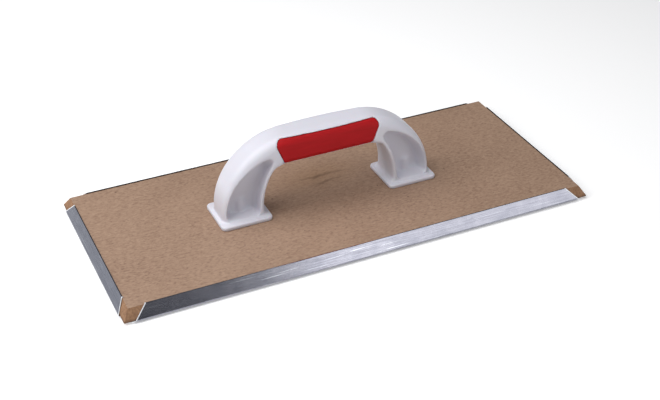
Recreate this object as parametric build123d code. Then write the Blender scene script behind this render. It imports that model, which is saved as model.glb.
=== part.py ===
from build123d import *
import math
import os

os.makedirs("parts", exist_ok=True)

# A dry rasping float: a bevelled fibreboard blade in a folded sheet-steel tray
# whose flat bottom is punched into rasp teeth, with a two-colour plastic
# D-handle held by a wood screw in each foot.
#
# Millimetres. +X runs along the blade, +Y away from the user, +Z up to the
# handle. The origin is the middle of the working face, on the plane that the
# tooth tips touch.

# Blade and tray
float_length = 400.0          # over the tray's folds
float_width = 175.0
board_thickness = 9.0
sheet_thickness = 0.6
edge_slope = 57.0             # degrees, bevelled edges and flanges lean inwards
fold_radius = 1.1             # outside of the fold
flange_gap = 0.15             # air between the board's bevel and the flange
flange_rise = 0.8             # flange rims above the board's top face
long_flange_end = 9.0         # from the float's corner to the end of a long flange, at the fold
long_flange_slant = 10.8      # how much further in that end is at the rim
short_flange_end = 11.0
short_flange_slant = 9.6

# Rasp teeth, punched downwards through the tray's bottom
tooth_height = 1.3
tooth_hole_radius = 1.3
tooth_tip_radius = 1.65
tooth_root_radius = 2.4
tooth_pitch = 12.5
tooth_margin = 12.0           # from the folds to the outermost tooth centres

# Handle: feet
handle_length = 190.5         # over both foot plates
handle_off_centre = -2.4      # the handle is screwed on a little left of the middle
foot_length = 43.2
foot_width = 41.0
foot_thickness = 3.4
foot_corner_radius = 4.0
foot_edge_radius = 1.0

# Handle: arch and grip, heights above the board's top face
handle_height = 68.4
shoulder_inset = 3.25         # from a foot plate's outer end to the leg
shoulder_radius = 61.6
shoulder_base = 6.0           # height where the shoulder arc starts
grip_thickness = 26.0
grip_width = 28.0             # front to back, at the crown
grip_edge_radius = 8.0
leg_foot_width = 32.0         # at the foot plates; the sides lean in from there to the grip's crown
leg_thickness = 34.5          # at the foot, along X
arch_radius = 55.0            # inside of the leg
arch_base = 10.0              # height where the inner arc starts
arch_toe = 4.2                # concave run-out of the leg's inner face onto the plate
leg_edge_radius = 2.0         # on the legs' inner edges
grip_fade_length = 9.0        # over which the grip's rounding shrinks to the legs'

# Handle: scooped pocket in each side of each leg, which leaves a central web
web_thickness = 6.0
rim_thickness = 3.5           # the leg's inner wall beside the pocket, at the foot
pocket_length = 29.0          # along X, at the foot
pocket_inner_radius = 72.8
pocket_outer_radius = 48.5
pocket_corner_radius = 4.0
pocket_lip = 1.2              # rim left above the foot plate at the pocket's mouth
pocket_side_slope = 5.0       # how much the outer wall closes in at the web
pocket_floor_rise = 2.2
pocket_floor_radius = 3.0

# Screws and their bosses
boss_radius = 5.5
boss_height = 18.0            # above the board's top face
boss_dome_radius = 3.5
screw_length = 25.0
screw_radius = 2.25
screw_head_radius = 4.5
screw_tip_length = 4.0
screw_hole_play = 0.25        # radial, through the board and the foot plate
thread_depth = 0.5
thread_pitch = 2.0
driver_slot_width = 1.1
driver_slot_length = 5.0
driver_slot_depth = 2.0

# Soft inlays, one in each side of the grip
inlay_depth = 6.5             # from the grip's side, at its underside, to the bed
inlay_top_drop = 2.6          # below the crown
inlay_bottom_rise = 1.2       # above the grip's underside
inlay_end_inset = 9.2         # from the end of the grip's straight underside to the inlay's lower corner
inlay_end_slant = 9.0         # how much further out the inlay reaches at its top
inlay_top_corner = 5.0
inlay_bottom_corner = 3.0

# Worked out from the sizes above
sheet_bottom = tooth_height
board_bottom = sheet_bottom + sheet_thickness
board_top = board_bottom + board_thickness
rim_height = board_top + flange_rise
lean = 90 - edge_slope
lean_run = 1 / math.tan(math.radians(edge_slope))      # inward run for each unit of height
sheet_run = sheet_thickness / math.sin(math.radians(edge_slope))
gap_run = flange_gap / math.sin(math.radians(edge_slope))
fold_loss = fold_radius * (1 / math.tan(math.radians(edge_slope / 2)) - 1)
sharp_length = float_length + 2 * fold_loss            # where the bottom and flange planes would meet
sharp_width = float_width + 2 * fold_loss
inner_fold_ease = 1.25 * (fold_radius - sheet_thickness)  # the inside of the fold, as a flat
board_edge_ease = inner_fold_ease + 2 * flange_gap     # keeps the board's lower edge out of the fold
leg_outer = handle_length / 2 - shoulder_inset
leg_inner = leg_outer - leg_thickness
screw_x = (handle_length - foot_length) / 2            # in the middle of each foot, either side
grip_underside = handle_height - grip_thickness
arch_centre = leg_inner - arch_radius
arch_rise = grip_underside - arch_base
underside_half = arch_centre + math.sqrt(arch_radius ** 2 - arch_rise ** 2)
leg_end = foot_thickness / 2                           # the legs reach down into the foot plates
pocket_start = leg_inner + rim_thickness


def polygon(*points):
    """Closed face through the points, with straight sides."""
    return make_face(Polyline(*points, close=True))


def frustum(inset, height):
    """Block with the float's outline and leaning sides, set in by a margin."""
    outline = Rectangle(sharp_length - 2 * inset, sharp_width - 2 * inset)
    return extrude(outline, amount=height, taper=lean)


# ---------------------------------------------------------------- the blade

def make_board():
    inset = sheet_thickness * lean_run + sheet_run + gap_run
    board = Pos(0, 0, board_bottom) * frustum(inset, board_thickness)
    lower_edges = board.edges().group_by(Axis.Z)[0]
    board = chamfer(lower_edges, board_edge_ease)
    for side in (-1, 1):
        place = Pos(handle_off_centre + side * screw_x, 0, board_bottom)
        board -= place * countersunk_hole(board_thickness)
    return board


def countersunk_hole(depth):
    """Clearance hole with a seat for the screw's head at its lower end."""
    hole_radius = screw_radius + screw_hole_play
    hole = Cylinder(hole_radius, depth, align=(Align.CENTER, Align.CENTER, Align.MIN))
    seat_depth = screw_head_radius - hole_radius
    seat = Cone(screw_head_radius, hole_radius, seat_depth, align=(Align.CENTER, Align.CENTER, Align.MIN))
    return hole + seat


# ---------------------------------------------------------------- the tray

def make_tray():
    height = rim_height - sheet_bottom
    outside = frustum(0, height)
    outside = fillet(outside.edges().group_by(Axis.Z)[0], fold_radius)
    inside_inset = sheet_thickness * lean_run + sheet_run
    inside = Pos(0, 0, sheet_thickness) * frustum(inside_inset, height)
    inside = chamfer(inside.edges().group_by(Axis.Z)[0], inner_fold_ease)
    tray = outside - inside
    tray -= corner_notches(height)
    tray = Pos(0, 0, sheet_bottom) * tray
    teeth = [Pos(x, y, 0) * tooth_burr() for x, y in tooth_centres()]
    holes = [Pos(x, y, 0) * tooth_hole() for x, y in tooth_centres()]
    tray = tray + teeth
    return tray - holes


def corner_notches(height):
    """What is snipped out of the blank at each corner so that it can be folded."""
    x, y = sharp_length / 2, sharp_width / 2
    rim_in = height * lean_run
    spare = 5.0
    long_end = (x - long_flange_end, y)
    long_rim = (long_end[0] - long_flange_slant, y - rim_in)
    short_end = (x, y - short_flange_end)
    short_rim = (x - rim_in, short_end[1] - short_flange_slant)
    past_long = (long_rim[0], long_rim[1] - 2 * sheet_thickness)
    past_short = (short_rim[0] - 2 * sheet_thickness, short_rim[1])
    long_out = (long_end[0], y + spare)
    short_out = (x + spare, short_end[1])
    corner = (x + spare, y + spare)
    long_side = (long_out, long_end, long_rim, past_long)
    short_side = (past_short, short_rim, short_end, short_out)
    flanges = polygon(*long_side, *short_side, corner)
    bottom = polygon(long_out, long_end, short_end, short_out, corner)
    notch = Pos(0, 0, sheet_thickness) * extrude(flanges, amount=height)
    notch += extrude(bottom, amount=sheet_thickness)
    notch += mirror(notch, Plane.YZ)
    notch += mirror(notch, Plane.XZ)
    return notch


def tooth_centres():
    """Staggered rows over the tray's bottom."""
    columns = int((float_length - 2 * tooth_margin) / tooth_pitch)
    rows = int((float_width - 2 * tooth_margin) / tooth_pitch)
    centres = []
    for row in range(rows + 1):
        y = (row - rows / 2) * tooth_pitch
        odd = row % 2
        for column in range(columns + 1 - odd):
            x = (column - (columns - odd) / 2) * tooth_pitch
            centres.append((x, y))
    return centres


def tooth_burr():
    """Raised ring of torn-out metal, pointing down."""
    root = sheet_bottom + sheet_thickness / 2
    return Cone(tooth_tip_radius, tooth_root_radius, root, align=(Align.CENTER, Align.CENTER, Align.MIN))


def tooth_hole():
    return Cylinder(tooth_hole_radius, board_bottom, align=(Align.CENTER, Align.CENTER, Align.MIN))


# ---------------------------------------------------------------- the handle

def arch_side_view():
    """Grip and legs seen from the side: a D without its upright, in X and Z."""
    crown_half = leg_outer - shoulder_radius
    shoulder_height = shoulder_base + shoulder_radius
    toe_height = foot_thickness + arch_toe
    toe_x = leg_inner - arch_toe
    arch_angle = math.degrees(math.asin(arch_rise / arch_radius))
    right_half = Curve() + [
        Line((leg_outer, leg_end), (leg_outer, shoulder_base)),
        CenterArc((crown_half, shoulder_base), shoulder_radius, 0, 90),
        CenterArc((arch_centre, arch_base), arch_radius, 0, arch_angle),
        Line((leg_inner, arch_base), (leg_inner, toe_height)),
        CenterArc((toe_x, toe_height), arch_toe, 270, 90),
        Line((toe_x, foot_thickness), (toe_x, leg_end)),
        Line((toe_x, leg_end), (leg_outer, leg_end)),
    ]
    crown = ThreePointArc((-crown_half, shoulder_height), (0, handle_height), (crown_half, shoulder_height))
    underside = Line((-underside_half, grip_underside), (underside_half, grip_underside))
    return make_face(Curve() + [crown, underside, right_half, mirror(right_half, Plane.YZ)])


def half_width(height):
    """Half of the handle's width, front to back, at a height."""
    side_draft = (leg_foot_width - grip_width) / 2 / (handle_height - leg_end)
    return leg_foot_width / 2 - side_draft * (height - leg_end)


def arch_end_view():
    """The same seen from the end: the sides lean in towards the top."""
    spare = 1.0
    top = handle_height + spare
    right = [(half_width(leg_end), leg_end), (half_width(top), top)]
    left = [(-y, z) for y, z in reversed(right)]
    return polygon(*right, *left)


def on_shoulder(edge):
    """Whether an edge runs along the outside of the arch, front or back."""
    middle = edge @ 0.5
    crown_half = leg_outer - shoulder_radius
    along = max(abs(middle.X) - crown_half, 0)
    up = max(middle.Z - shoulder_base, 0)
    beside = abs(middle.Y) > web_thickness
    return beside and middle.Z > leg_end and math.hypot(along, up) > shoulder_radius - 1


def on_inner_arch(edge):
    """Whether an edge runs along a leg's inner arc, front or back."""
    middle = edge @ 0.5
    along = abs(middle.X) - arch_centre
    up = max(middle.Z - arch_base, 0)
    beside = abs(middle.Y) > web_thickness
    above_toe = middle.Z > foot_thickness + arch_toe
    return beside and above_toe and abs(math.hypot(along, up) - arch_radius) < 0.1


def make_arch():
    arch = extrude(Plane.XZ * arch_side_view(), amount=leg_foot_width / 2, both=True)
    arch &= extrude(Plane.YZ * arch_end_view(), amount=leg_outer, both=True)
    arch = fillet(arch.edges().filter_by(on_shoulder), grip_edge_radius)
    arch = fillet(arch.edges().filter_by(on_inner_arch), leg_edge_radius)
    return arch - grip_rounding()


def corner_section(x, radius):
    """What a rounding takes off the grip's lower front corner, at a place along the grip."""
    spare = 2.0
    y = -half_width(grip_underside)
    z = grip_underside
    arc_start = (y, z + radius)
    arc_end = (y + radius, z)
    low = z - spare
    out = y - spare
    lines = Polyline(arc_end, (y + radius, low), (out, low), (out, z + radius), arc_start)
    arc = RadiusArc(arc_start, arc_end, -radius)
    return Plane.YZ.offset(x) * make_face(lines + arc)


def grip_rounding():
    """Rounding of the grip's lower edges, which shrinks to the legs' rounding at its ends."""
    full_half = underside_half - grip_fade_length
    full = corner_section(full_half, grip_edge_radius)
    small = corner_section(underside_half, leg_edge_radius)
    cutter = extrude(full, amount=-full_half)
    cutter += loft([full, small])
    cutter += mirror(cutter, Plane.YZ)
    cutter += mirror(cutter, Plane.XZ)
    return cutter


def pocket_outline(side_inset, floor_height):
    """Crescent-shaped outline of a leg's pocket, in X and Z."""
    outer_centre = (pocket_start + pocket_length - pocket_outer_radius, shoulder_base)
    inner_centre = (pocket_start - pocket_inner_radius, shoulder_base)
    outline = Pos(*outer_centre) * Circle(pocket_outer_radius - side_inset)
    outline -= Pos(*inner_centre) * Circle(pocket_inner_radius)
    above_floor = Rectangle(handle_length, handle_height)
    outline &= Pos(pocket_start, floor_height + handle_height / 2) * above_floor
    return fillet(outline.vertices(), pocket_corner_radius)


def leg_pockets():
    """All four pockets: one in each side of each leg, down to the central web."""
    mouth_y = leg_foot_width / 2
    mouth = Plane.XZ.offset(mouth_y) * pocket_outline(0, foot_thickness + pocket_lip)
    bottom_outline = pocket_outline(pocket_side_slope, foot_thickness + pocket_floor_rise)
    bottom = Plane.XZ.offset(web_thickness / 2) * bottom_outline
    scoop = loft([bottom, mouth])
    scoop = fillet(scoop.faces().sort_by(Axis.Y)[-1].edges(), pocket_floor_radius)
    scoop += extrude(mouth, amount=grip_width / 2)
    scoop += mirror(scoop, Plane.YZ)
    scoop += mirror(scoop, Plane.XZ)
    return scoop


def inlay_block(side):
    """Block that a soft inlay and its bed are both cut from, at the front (-1) or rear (1)."""
    low = grip_underside + inlay_bottom_rise
    high = handle_height - inlay_top_drop
    lower_half = underside_half - inlay_end_inset
    right = [(lower_half, low), (lower_half + inlay_end_slant, high)]
    left = [(-x, z) for x, z in reversed(right)]
    outline = polygon(*right, *left)
    lower = outline.vertices().group_by(Axis.Y)[0]
    outline = fillet(lower, inlay_bottom_corner)
    upper = outline.vertices().group_by(Axis.Y)[-1]
    outline = fillet(upper, inlay_top_corner)
    bed = half_width(grip_underside) - inlay_depth
    block = extrude(Plane.XZ.offset(bed) * outline, amount=inlay_depth + 1)
    return block if side < 0 else mirror(block, Plane.XZ)


def foot_with_boss():
    """Foot plate with the screw's boss on it, centred on the screw."""
    plate = extrude(RectangleRounded(foot_length, foot_width, foot_corner_radius), amount=foot_thickness)
    plate = fillet(plate.edges().group_by(Axis.Z)[-1], foot_edge_radius)
    boss = extrude(Circle(boss_radius), amount=boss_height)
    boss = fillet(boss.edges().group_by(Axis.Z)[-1], boss_dome_radius)
    return plate + boss


def foot_hole():
    """Clearance through the foot plate, then the hole that the thread cuts into."""
    clearance = extrude(Circle(screw_radius + screw_hole_play), amount=foot_thickness)
    return clearance + extrude(Circle(screw_radius), amount=screw_length - board_thickness)


def make_handle():
    arch = make_arch()
    inlays = [arch & inlay_block(side) for side in (-1, 1)]
    body = arch - leg_pockets()
    for side in (-1, 1):
        body -= inlay_block(side)
        body += Pos(side * screw_x, 0, 0) * foot_with_boss()
        body -= Pos(side * screw_x, 0, 0) * foot_hole()
    return [on_board(piece) for piece in (body, *inlays)]


def on_board(piece):
    return Pos(handle_off_centre, 0, board_top) * piece


# ---------------------------------------------------------------- the screws

def make_screw():
    """Countersunk wood screw, head down, with its head's face at height 0."""
    shank_start = screw_head_radius - screw_radius
    core_radius = screw_radius - thread_depth
    thread_end = screw_length - screw_tip_length
    outline = [(0, 0), (screw_head_radius, 0), (screw_radius, shank_start)]
    turns = int((thread_end - board_thickness) / thread_pitch)
    for turn in range(turns):
        crest = thread_end - (turns - turn) * thread_pitch
        outline.append((screw_radius, crest))
        outline.append((core_radius, crest + thread_pitch / 2))
    outline.append((screw_radius, thread_end))
    outline.append((0, screw_length))
    screw = revolve(Plane.XZ * polygon(*outline), Axis.Z)
    slot = Box(driver_slot_length, driver_slot_width, 2 * driver_slot_depth)
    return screw - slot - Rot(0, 0, 90) * slot


# ---------------------------------------------------------------- write the pieces

handle_body, grip_inlay_front, grip_inlay_rear = make_handle()
pieces = {
    "base_board": make_board(),
    "rasp_plate": make_tray(),
    "handle_body": handle_body,
    "grip_inlay_front": grip_inlay_front,
    "grip_inlay_rear": grip_inlay_rear,
}
for name, side in (("left", -1), ("right", 1)):
    place = Pos(handle_off_centre + side * screw_x, 0, board_bottom)
    pieces["handle_screw_" + name] = place * make_screw()

for name, piece in pieces.items():
    export_step(piece, "parts/" + name + ".step")
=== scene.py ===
import math

import bpy
from mathutils import Matrix, Vector


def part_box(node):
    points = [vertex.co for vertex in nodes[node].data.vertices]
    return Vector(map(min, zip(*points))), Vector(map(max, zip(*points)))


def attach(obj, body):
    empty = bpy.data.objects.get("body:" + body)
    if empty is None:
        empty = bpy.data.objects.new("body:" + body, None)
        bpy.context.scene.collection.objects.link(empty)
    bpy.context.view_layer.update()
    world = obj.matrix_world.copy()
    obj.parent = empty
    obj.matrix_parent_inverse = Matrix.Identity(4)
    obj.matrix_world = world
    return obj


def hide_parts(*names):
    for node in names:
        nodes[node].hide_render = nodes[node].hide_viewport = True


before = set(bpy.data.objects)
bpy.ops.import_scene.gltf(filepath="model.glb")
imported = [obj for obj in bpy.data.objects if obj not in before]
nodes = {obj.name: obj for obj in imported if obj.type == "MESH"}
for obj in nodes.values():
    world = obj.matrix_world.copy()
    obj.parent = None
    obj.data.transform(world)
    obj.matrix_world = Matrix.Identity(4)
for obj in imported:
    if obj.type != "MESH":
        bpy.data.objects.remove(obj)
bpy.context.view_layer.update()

MM = 0.001


# ---------------------------------------------------------------- materials

def linear(hex_colour):
    """An sRGB hex colour as the linear RGBA that sockets take."""
    channels = [int(hex_colour[i:i + 2], 16) / 255 for i in (1, 3, 5)]
    return [c / 12.92 if c <= 0.04045 else ((c + 0.055) / 1.055) ** 2.4 for c in channels] + [1.0]


def add(tree, kind, inputs={}, **settings):
    """Adds a node. Each input is given a value, a hex colour, or the output that feeds it."""
    node = tree.nodes.new(kind)
    for name, value in settings.items():
        setattr(node, name, value)
    for socket, value in inputs.items():
        if isinstance(value, bpy.types.NodeSocket):
            tree.links.new(value, node.inputs[socket])
        else:
            node.inputs[socket].default_value = linear(value) if isinstance(value, str) else value
    return node


def new_material(name):
    """An empty node material, with its shader, and Object coordinates in metres."""
    material = bpy.data.materials.new(name)
    material.use_nodes = True
    tree = material.node_tree
    shader = tree.nodes["Principled BSDF"]
    place = add(tree, "ShaderNodeTexCoord").outputs["Object"]
    return material, tree, shader, place


def per_metre(size_mm):
    """Texture scale that gives features of this size."""
    return 1 / (size_mm * MM)


def tint(tree, under, over, pattern, none_at, full_at, most):
    """Lays one colour over another by a pattern: none where it is at one level, up to this much at the other."""
    amount = add(tree, "ShaderNodeMapRange",
                 {"Value": pattern, "From Min": none_at, "From Max": full_at, "To Max": most}).outputs[0]
    return add(tree, "ShaderNodeMix", {0: amount, 6: under, 7: over}, data_type="RGBA").outputs[2]


def stain_line(tree, place, start_mm, end_mm, width_mm):
    """How strongly a dried streak shows at a place on the board: 1 on its line, 0 away from it."""
    middle = [(a + b) / 2 * MM for a, b in zip(start_mm, end_mm)]
    along_x, along_y = end_mm[0] - start_mm[0], end_mm[1] - start_mm[1]
    half_length = math.hypot(along_x, along_y) / 2
    local = add(tree, "ShaderNodeMapping",
                {"Vector": place, "Location": (*middle, 0), "Rotation": (0, 0, math.atan2(along_y, along_x)),
                 "Scale": (half_length * MM, width_mm * MM, 1)}, vector_type="TEXTURE")
    distance = add(tree, "ShaderNodeVectorMath", {0: local.outputs[0]}, operation="LENGTH")
    return add(tree, "ShaderNodeMapRange",
               {"Value": distance.outputs["Value"], "From Min": 1.0, "From Max": 0.1}).outputs[0]


def dried_streaks(tree, place, clean):
    """The board's colour with the yellowed patch and the wavy dried streaks that lie under the grip."""
    patch = ((-45, 22), (50, 30), 26)             # start, end and width, in millimetres
    streaks = (((-22, 27), (38, 24), 2.6),
               ((-10, 12), (24, 17), 2.2),
               ((-2, 23), (8, 26), 3.2))
    waver = 8 * MM
    wobble = add(tree, "ShaderNodeTexNoise", {"Vector": place, "Scale": per_metre(14), "Detail": 4.0})
    shift = add(tree, "ShaderNodeVectorMath",
                {0: wobble.outputs["Color"], 1: (0.5, 0.5, 0.5)}, operation="SUBTRACT")
    wavy = add(tree, "ShaderNodeVectorMath",
               {0: shift.outputs[0], 1: (waver, waver, 0), 2: place}, operation="MULTIPLY_ADD").outputs[0]
    stained = tint(tree, clean, "#866747", stain_line(tree, wavy, *patch), 0.0, 1.0, 0.45)
    for streak in streaks:
        stained = tint(tree, stained, "#5a4030", stain_line(tree, wavy, *streak), 0.0, 1.0, 0.5)
    return stained


def pressed_fibreboard():
    """Medium-density fibreboard, pressed face: matt brown, mottled by its fibres, with flecks and streaks."""
    material, tree, shader, place = new_material("pressed_fibreboard")
    # real fibres are about 0.1 mm wide, too fine to show, so they are drawn coarser
    along = add(tree, "ShaderNodeMapping", {"Vector": place, "Scale": (0.5, 1.0, 1.0)}).outputs[0]
    fibres = add(tree, "ShaderNodeTexNoise",
                 {"Vector": along, "Scale": per_metre(2.2), "Detail": 7.0, "Roughness": 0.75}).outputs[0]
    specks = add(tree, "ShaderNodeTexNoise",
                 {"Vector": along, "Scale": per_metre(1.4), "Detail": 2.0}).outputs[0]
    clouds = add(tree, "ShaderNodeTexNoise",
                 {"Vector": place, "Scale": per_metre(40), "Detail": 3.0}).outputs[0]
    flecks = add(tree, "ShaderNodeTexVoronoi", {"Vector": place, "Scale": per_metre(19)}).outputs["Distance"]
    ground = tint(tree, "#9a7d68", "#8d705c", clouds, 0.3, 0.7, 1.0)
    mottled = tint(tree, ground, "#b3967f", fibres, 0.38, 0.66, 0.75)
    speckled = tint(tree, mottled, "#6b4f40", specks, 0.5, 0.75, 0.55)
    flecked = tint(tree, speckled, "#4a3226", flecks, 0.055, 0.03, 0.65)
    tree.links.new(dried_streaks(tree, place, flecked), shader.inputs["Base Color"])
    rough = add(tree, "ShaderNodeMapRange",
                {"Value": fibres, "From Min": 0.3, "From Max": 0.7, "To Min": 0.55, "To Max": 0.72})
    tree.links.new(rough.outputs[0], shader.inputs["Roughness"])
    relief = add(tree, "ShaderNodeBump", {"Height": fibres, "Strength": 0.12, "Distance": 0.08 * MM})
    tree.links.new(relief.outputs[0], shader.inputs["Normal"])
    return material


def sawn_fibreboard():
    """Medium-density fibreboard, sawn bevel: warmer and rougher than the face, with upright saw marks and painted
    shade darkening it towards its bottom edge.
    """
    material, tree, shader, place = new_material("sawn_fibreboard")
    # a fine saw leaves marks about 0.3 mm apart, too fine to show, so they are drawn coarser
    upright = add(tree, "ShaderNodeMapping", {"Vector": place, "Scale": (1.0, 1.0, 0.12)}).outputs[0]
    marks = add(tree, "ShaderNodeTexNoise",
                {"Vector": upright, "Scale": per_metre(1.1), "Detail": 5.0, "Roughness": 0.7}).outputs[0]
    fluff = add(tree, "ShaderNodeTexNoise",
                {"Vector": place, "Scale": per_metre(4), "Detail": 5.0}).outputs[0]
    height = add(tree, "ShaderNodeSeparateXYZ", {"Vector": place}).outputs["Z"]
    ground = tint(tree, "#775640", "#9c7757", marks, 0.35, 0.68, 1.0)
    soft = tint(tree, ground, "#b58c69", fluff, 0.4, 0.7, 0.35)
    # painted shade: the bevel darkens towards #3c291d below 4.5 mm height, where the tray's fold shades its bottom
    # edge
    painted_shade_low = tint(tree, soft, "#3c291d", height, 4.5 * MM, 2.0 * MM, 0.7)
    tree.links.new(painted_shade_low, shader.inputs["Base Color"])
    shader.inputs["Roughness"].default_value = 0.85
    relief = add(tree, "ShaderNodeBump", {"Height": marks, "Strength": 0.6, "Distance": 0.25 * MM})
    tree.links.new(relief.outputs[0], shader.inputs["Normal"])
    return material


def sheared_edge_highlight_mask(tree, place):
    """1 in a thin band along the slanting cut ends of the folded flanges, where the shears left bare metal, and 0
    elsewhere; this band carries a painted highlight of the cut edge catching the light.
    """
    far_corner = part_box("rasp_plate")[1]
    half = {"X": far_corner[0], "Y": far_corner[1]}
    # for a long and a short flange: the axis across it, and how far in from the fold it reaches, then the axis
    # along it, how far in from the corner its end starts, and how much that end leans for each unit of height
    flanges = (("Y", 9.7 * MM, "X", 7.9 * MM, 1.04),
               ("X", 8.2 * MM, "Y", 10.1 * MM, 0.92))
    flange_fade, cut_fade = 0.4 * MM, 0.5 * MM
    parts = add(tree, "ShaderNodeSeparateXYZ", {"Vector": place}).outputs
    reach = {axis: add(tree, "ShaderNodeMath", {0: parts[axis]}, operation="ABSOLUTE").outputs[0]
             for axis in "XY"}
    ends = []
    for across, depth, along, setback, lean in flanges:
        start, cut = half[across] - depth, half[along] - setback
        on_flange = add(tree, "ShaderNodeMapRange",
                        {"Value": reach[across], "From Min": start, "From Max": start + flange_fade})
        outward = add(tree, "ShaderNodeMath", {0: parts["Z"], 1: lean, 2: reach[along]},
                      operation="MULTIPLY_ADD")
        past_cut = add(tree, "ShaderNodeMapRange",
                       {"Value": outward.outputs[0], "From Min": cut, "From Max": cut + cut_fade})
        ends.append(add(tree, "ShaderNodeMath", {0: on_flange.outputs[0], 1: past_cut.outputs[0]},
                        operation="MULTIPLY").outputs[0])
    return add(tree, "ShaderNodeMath", {0: ends[0], 1: ends[1]}, operation="MAXIMUM").outputs[0]


def galvanised_sheet():
    """Hot-dip galvanised steel sheet: grey zinc, faint spangle, drawing scratches, sheared edges with a painted
    highlight, and end flanges darkened as painted shade.
    """
    material, tree, shader, place = new_material("galvanised_sheet")
    facing = add(tree, "ShaderNodeSeparateXYZ", {"Vector": add(tree, "ShaderNodeTexCoord").outputs["Normal"]})
    endwise = add(tree, "ShaderNodeMath", {0: facing.outputs["X"]}, operation="ABSOLUTE").outputs[0]
    on_end = add(tree, "ShaderNodeMath", {0: endwise, 1: 0.4}, operation="GREATER_THAN").outputs[0]
    # the scratches run along each flange; real ones are about 0.05 mm wide, so they are drawn coarser
    lengthwise = add(tree, "ShaderNodeMapping", {"Vector": place, "Scale": (0.02, 1.0, 1.0)}).outputs[0]
    crosswise = add(tree, "ShaderNodeMapping", {"Vector": place, "Scale": (1.0, 0.02, 1.0)}).outputs[0]
    drawn = add(tree, "ShaderNodeMix", {0: on_end, 4: lengthwise, 5: crosswise},
                data_type="VECTOR").outputs[1]
    streaks = add(tree, "ShaderNodeTexNoise",
                  {"Vector": drawn, "Scale": per_metre(0.55), "Detail": 5.0, "Roughness": 0.7}).outputs[0]
    scratches = add(tree, "ShaderNodeTexNoise",
                    {"Vector": drawn, "Scale": per_metre(0.9), "Detail": 2.0}).outputs[0]
    spangle = add(tree, "ShaderNodeTexVoronoi", {"Vector": place, "Scale": per_metre(6)}).outputs["Color"]
    clouds = add(tree, "ShaderNodeTexNoise",
                 {"Vector": place, "Scale": per_metre(12), "Detail": 4.0}).outputs[0]
    zinc = tint(tree, "#8f909b", "#a0a0aa", clouds, 0.3, 0.7, 1.0)
    frosted = tint(tree, zinc, "#c4c4cc", spangle, 0.2, 0.9, 0.14)
    streaked = tint(tree, frosted, "#7a7b86", streaks, 0.45, 0.7, 0.55)
    scratched = tint(tree, streaked, "#d3d7dd", scratches, 0.66, 0.72, 0.8)
    # painted shade: faces at the ends (the end flanges) are darkened towards #3c4350, standing in for the dark
    # surroundings they reflect
    end_flanges_painted_dark = tint(tree, scratched, "#3c4350", on_end, 0.0, 1.0, 0.6)
    sheared_edge_highlight = sheared_edge_highlight_mask(tree, place)
    # painted highlight: the cut-end band is coloured near-white #eceef2, as the sheared edge catching the light
    colour = add(tree, "ShaderNodeMix", {0: sheared_edge_highlight, 6: end_flanges_painted_dark, 7: "#eceef2"}, data_type="RGBA")
    tree.links.new(colour.outputs[2], shader.inputs["Base Color"])
    metal = add(tree, "ShaderNodeMapRange", {"Value": sheared_edge_highlight, "To Min": 1.0, "To Max": 0.15})
    tree.links.new(metal.outputs[0], shader.inputs["Metallic"])
    polish = add(tree, "ShaderNodeMapRange",
                 {"Value": streaks, "From Min": 0.3, "From Max": 0.7, "To Min": 0.15, "To Max": 0.27})
    torn = add(tree, "ShaderNodeMath", {0: sheared_edge_highlight, 1: 0.5}, operation="MULTIPLY")
    rough = add(tree, "ShaderNodeMath", {0: polish.outputs[0], 1: torn.outputs[0]}, operation="MAXIMUM")
    tree.links.new(rough.outputs[0], shader.inputs["Roughness"])
    relief = add(tree, "ShaderNodeBump", {"Height": streaks, "Strength": 0.25, "Distance": 0.05 * MM})
    tree.links.new(relief.outputs[0], shader.inputs["Normal"])
    return material


def moulded_polypropylene():
    """Injection-moulded polypropylene, pale grey: satin, faintly uneven, a little light gets into it."""
    material, tree, shader, place = new_material("moulded_polypropylene")
    # the mould's grain is about 0.1 mm, too fine to show, so it is drawn coarser
    grain = add(tree, "ShaderNodeTexNoise", {"Vector": place, "Scale": per_metre(0.8), "Detail": 3.0})
    flow = add(tree, "ShaderNodeTexNoise", {"Vector": place, "Scale": per_metre(30), "Detail": 2.0})
    tone = add(tree, "ShaderNodeMix", {0: flow.outputs[0], 6: "#d2d1da", 7: "#dbdae3"}, data_type="RGBA")
    tree.links.new(tone.outputs[2], shader.inputs["Base Color"])
    shader.inputs["Roughness"].default_value = 0.42
    shader.inputs["IOR"].default_value = 1.49
    shader.inputs["Subsurface Weight"].default_value = 0.06
    shader.inputs["Subsurface Scale"].default_value = 1.5 * MM
    relief = add(tree, "ShaderNodeBump", {"Height": grain.outputs[0], "Strength": 0.15, "Distance": 0.04 * MM})
    tree.links.new(relief.outputs[0], shader.inputs["Normal"])
    return material


def soft_elastomer():
    """Overmoulded thermoplastic elastomer, red: matt, with faint marks along the grip."""
    material, tree, shader, place = new_material("soft_elastomer")
    along = add(tree, "ShaderNodeMapping", {"Vector": place, "Scale": (0.12, 1.0, 1.0)}).outputs[0]
    marks = add(tree, "ShaderNodeTexNoise", {"Vector": along, "Scale": per_metre(2.2), "Detail": 4.0})
    tone = add(tree, "ShaderNodeMix", {0: marks.outputs[0], 6: "#a0060c", 7: "#b80f18"}, data_type="RGBA")
    tree.links.new(tone.outputs[2], shader.inputs["Base Color"])
    shader.inputs["Roughness"].default_value = 0.6
    shader.inputs["Specular IOR Level"].default_value = 0.22
    relief = add(tree, "ShaderNodeBump", {"Height": marks.outputs[0], "Strength": 0.2, "Distance": 0.1 * MM})
    tree.links.new(relief.outputs[0], shader.inputs["Normal"])
    return material


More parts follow.
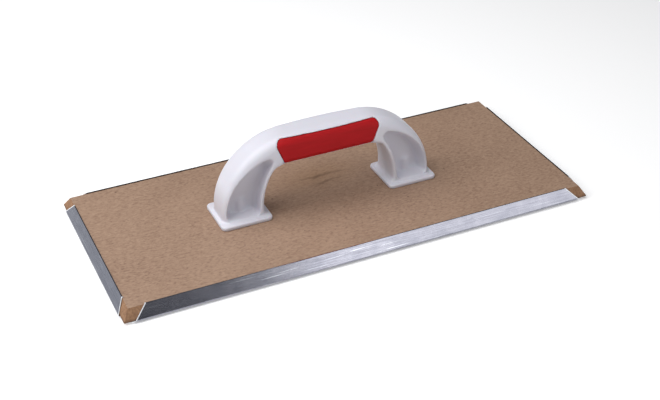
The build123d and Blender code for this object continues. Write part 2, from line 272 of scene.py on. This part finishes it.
def bright_zinc():
    """Electroplated zinc on the screws: smoother and brighter than the sheet, faintly yellow."""
    material, tree, shader, place = new_material("bright_zinc")
    worn = add(tree, "ShaderNodeTexNoise",
               {"Vector": place, "Scale": per_metre(1.5), "Detail": 3.0}).outputs[0]
    tree.links.new(tint(tree, "#c3c2b6", "#dad9d0", worn, 0.3, 0.7, 1.0), shader.inputs["Base Color"])
    shader.inputs["Metallic"].default_value = 1.0
    rough = add(tree, "ShaderNodeMapRange",
                {"Value": worn, "From Min": 0.3, "From Max": 0.7, "To Min": 0.2, "To Max": 0.34})
    tree.links.new(rough.outputs[0], shader.inputs["Roughness"])
    return material


def studio_white():
    """Matt white backdrop paper, with a faint glow that keeps it white."""
    material, _, shader, _ = new_material("studio_white")
    shader.inputs["Base Color"].default_value = linear("#f7f7f7")
    shader.inputs["Roughness"].default_value = 0.9
    shader.inputs["Emission Color"].default_value = linear("#ffffff")
    shader.inputs["Emission Strength"].default_value = 0.22
    return material


# ---------------------------------------------------------------- the pieces

def only(obj):
    """Makes this object the only one selected, and the active one."""
    bpy.ops.object.select_all(action="DESELECT")
    obj.select_set(True)
    bpy.context.view_layer.objects.active = obj


def apply_modifier(obj, kind, **settings):
    """Adds a modifier and applies it."""
    only(obj)
    modifier = obj.modifiers.new(kind.lower(), kind)
    for name, value in settings.items():
        setattr(modifier, name, value)
    bpy.ops.object.modifier_apply(modifier=modifier.name)


def merged_copy(node, name):
    """A copy of a CAD piece to work on, with its doubled points merged."""
    piece = nodes[node].copy()
    piece.data = nodes[node].data.copy()
    piece.name = piece.data.name = name
    piece.parent = None
    for key in list(piece.keys()):
        del piece[key]
    bpy.context.scene.collection.objects.link(piece)
    only(piece)
    bpy.ops.object.mode_set(mode="EDIT")
    bpy.ops.mesh.select_all(action="SELECT")
    bpy.ops.mesh.remove_doubles(threshold=0.001 * MM)
    bpy.ops.object.mode_set(mode="OBJECT")
    return piece


def softened_copy(node, name, grid, passes):
    """A copy of a CAD piece with all its edges softened, as moulding leaves them."""
    piece = merged_copy(node, name)
    apply_modifier(piece, "REMESH", mode="VOXEL", voxel_size=grid)
    apply_modifier(piece, "SMOOTH", factor=0.5, iterations=passes)
    only(piece)
    bpy.ops.object.shade_smooth()
    return piece


def blend_pockets(body):
    """Rounds the mouths of the legs' pockets more than the rest, as the mould does."""
    grip_half = 50 * MM          # the legs lie further out than this
    above_board = 6.5 * MM       # leaves the feet crisp
    below_inlay = 6 * MM         # leaves the grip crisp
    middle = sum(corner[0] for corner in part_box("handle_body")) / 2
    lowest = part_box("base_board")[1][2] + above_board
    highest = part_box("grip_inlay_front")[1][2] - below_inlay
    legs = [v.index for v in body.data.vertices
            if abs(v.co.x - middle) > grip_half and lowest < v.co.z < highest]
    body.vertex_groups.new(name="pocket_mouths").add(legs, 1.0, "REPLACE")
    apply_modifier(body, "SMOOTH", factor=0.5, iterations=14, vertex_group="pocket_mouths")


def draw_in(piece, depth):
    """Shrinks a piece's skin, so that a fine groove shows round it."""
    only(piece)
    bpy.ops.object.mode_set(mode="EDIT")
    bpy.ops.mesh.select_all(action="SELECT")
    bpy.ops.transform.shrink_fatten(value=-depth)
    bpy.ops.object.mode_set(mode="OBJECT")


def finish_piece(piece, slot, replaced, *materials):
    """Gives a piece its materials, hides the CAD piece it replaces, and attaches it to the root body."""
    piece.data.materials.clear()
    for material in materials:
        piece.data.materials.append(material)
    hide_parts(replaced)
    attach(piece, "root")


def make_handle():
    """The moulding with its softened edges, and the two inlays a hair below its surface."""
    plastic = moulded_polypropylene()
    red = soft_elastomer()
    body = softened_copy("handle_body", "handle_moulding", 0.75 * MM, 3)
    blend_pockets(body)
    finish_piece(body, "handle_plastic", "handle_body", plastic)
    for side in ("front", "rear"):
        inlay = softened_copy("grip_inlay_" + side, "soft_inlay_" + side, 0.5 * MM, 3)
        draw_in(inlay, 0.3 * MM)
        finish_piece(inlay, "soft_inlay", "grip_inlay_" + side, red)


def make_blade():
    """The board, with its sawn edges slightly rubbed: flat faces are pressed, and all the others are sawn."""
    rubbed = 0.35 * MM
    flat_enough = 0.8            # how far up or down a normal points on a pressed face
    blade = merged_copy("base_board", "fibreboard_blade")
    bpy.ops.object.mode_set(mode="EDIT")
    bpy.ops.mesh.select_all(action="SELECT")
    bpy.ops.mesh.dissolve_limited(angle_limit=math.radians(1))
    bpy.ops.object.mode_set(mode="OBJECT")
    apply_modifier(blade, "BEVEL", width=rubbed, segments=2, limit_method="ANGLE", angle_limit=math.radians(25))
    finish_piece(blade, "fibreboard", "base_board", pressed_fibreboard(), sawn_fibreboard())
    for face in blade.data.polygons:
        face.material_index = 0 if abs(face.normal.z) > flat_enough else 1


def finish_metal():
    """Gives the CAD tray and screws their zinc."""
    sheet, plating = galvanised_sheet(), bright_zinc()
    for name, material in (("rasp_plate", sheet), ("handle_screw_left", plating), ("handle_screw_right", plating)):
        nodes[name].data.materials.clear()
        nodes[name].data.materials.append(material)


# ---------------------------------------------------------------- camera, light and floor

def aim(obj, target, roll=0.0):
    """Turns a camera or lamp so that it looks at a point, then rolls it about that line."""
    direction = Vector(target) - obj.location
    turn = direction.to_track_quat("-Z", "Y").to_matrix()
    obj.rotation_euler = (turn @ Matrix.Rotation(roll, 3, "Z")).to_euler()


def place_camera():
    """The viewpoint: from the front left, a third of the way up, about a metre away."""
    azimuth, elevation, roll = map(math.radians, (-24.35, 33.01, -0.53))
    distance = 1020.3 * MM
    target = Vector((4.1, 0.3, 1.3)) * MM
    back = Vector((math.sin(azimuth) * math.cos(elevation),
                   -math.cos(azimuth) * math.cos(elevation),
                   math.sin(elevation)))
    bpy.ops.object.camera_add(location=target + back * distance)
    camera = bpy.context.object
    camera.name = "camera"
    aim(camera, target, roll)
    camera.data.sensor_width = 36
    camera.data.lens = 66.86
    bpy.context.scene.camera = camera


def softbox(name, place, size, power):
    """A rectangular white studio light that looks at the float."""
    bpy.ops.object.light_add(type="AREA", location=place)
    lamp = bpy.context.object
    lamp.name = name
    lamp.data.shape = "RECTANGLE"
    lamp.data.size, lamp.data.size_y = size
    lamp.data.energy = power
    aim(lamp, (0, 0, 0.03))


def light_the_set():
    """Dim surroundings, a big softbox overhead, one at the left, a front fill, and two boxes front right."""
    world = bpy.data.worlds.new("studio")
    bpy.context.scene.world = world
    world.use_nodes = True
    sky = world.node_tree.nodes["Background"]
    sky.inputs["Color"].default_value = linear("#e8ebf4")
    sky.inputs["Strength"].default_value = 0.12
    softbox("overhead", (-0.45, 0.05, 1.0), (1.2, 1.1), 13)
    softbox("left_box", (-1.25, 0.1, 0.75), (0.6, 0.6), 4.5)
    softbox("front_fill", (0.1, -1.0, 1.25), (0.9, 0.7), 2.2)
    softbox("front_right_box", (0.9, -1.28, 0.65), (0.96, 0.6), 3.3)
    softbox("front_strip", (0.5, -1.43, 0.66), (0.2, 0.6), 0.42)
    bpy.context.scene.view_settings.view_transform = "Standard"


def lay_floor():
    """A wide round of backdrop paper, a hair below the tooth tips."""
    bpy.ops.mesh.primitive_circle_add(vertices=96, radius=6, fill_type="NGON", location=(0, 0, -0.05 * MM))
    floor = bpy.context.object
    floor.name = "floor"
    floor.data.materials.append(studio_white())


make_handle()
make_blade()
finish_metal()
place_camera()
light_the_set()
lay_floor()
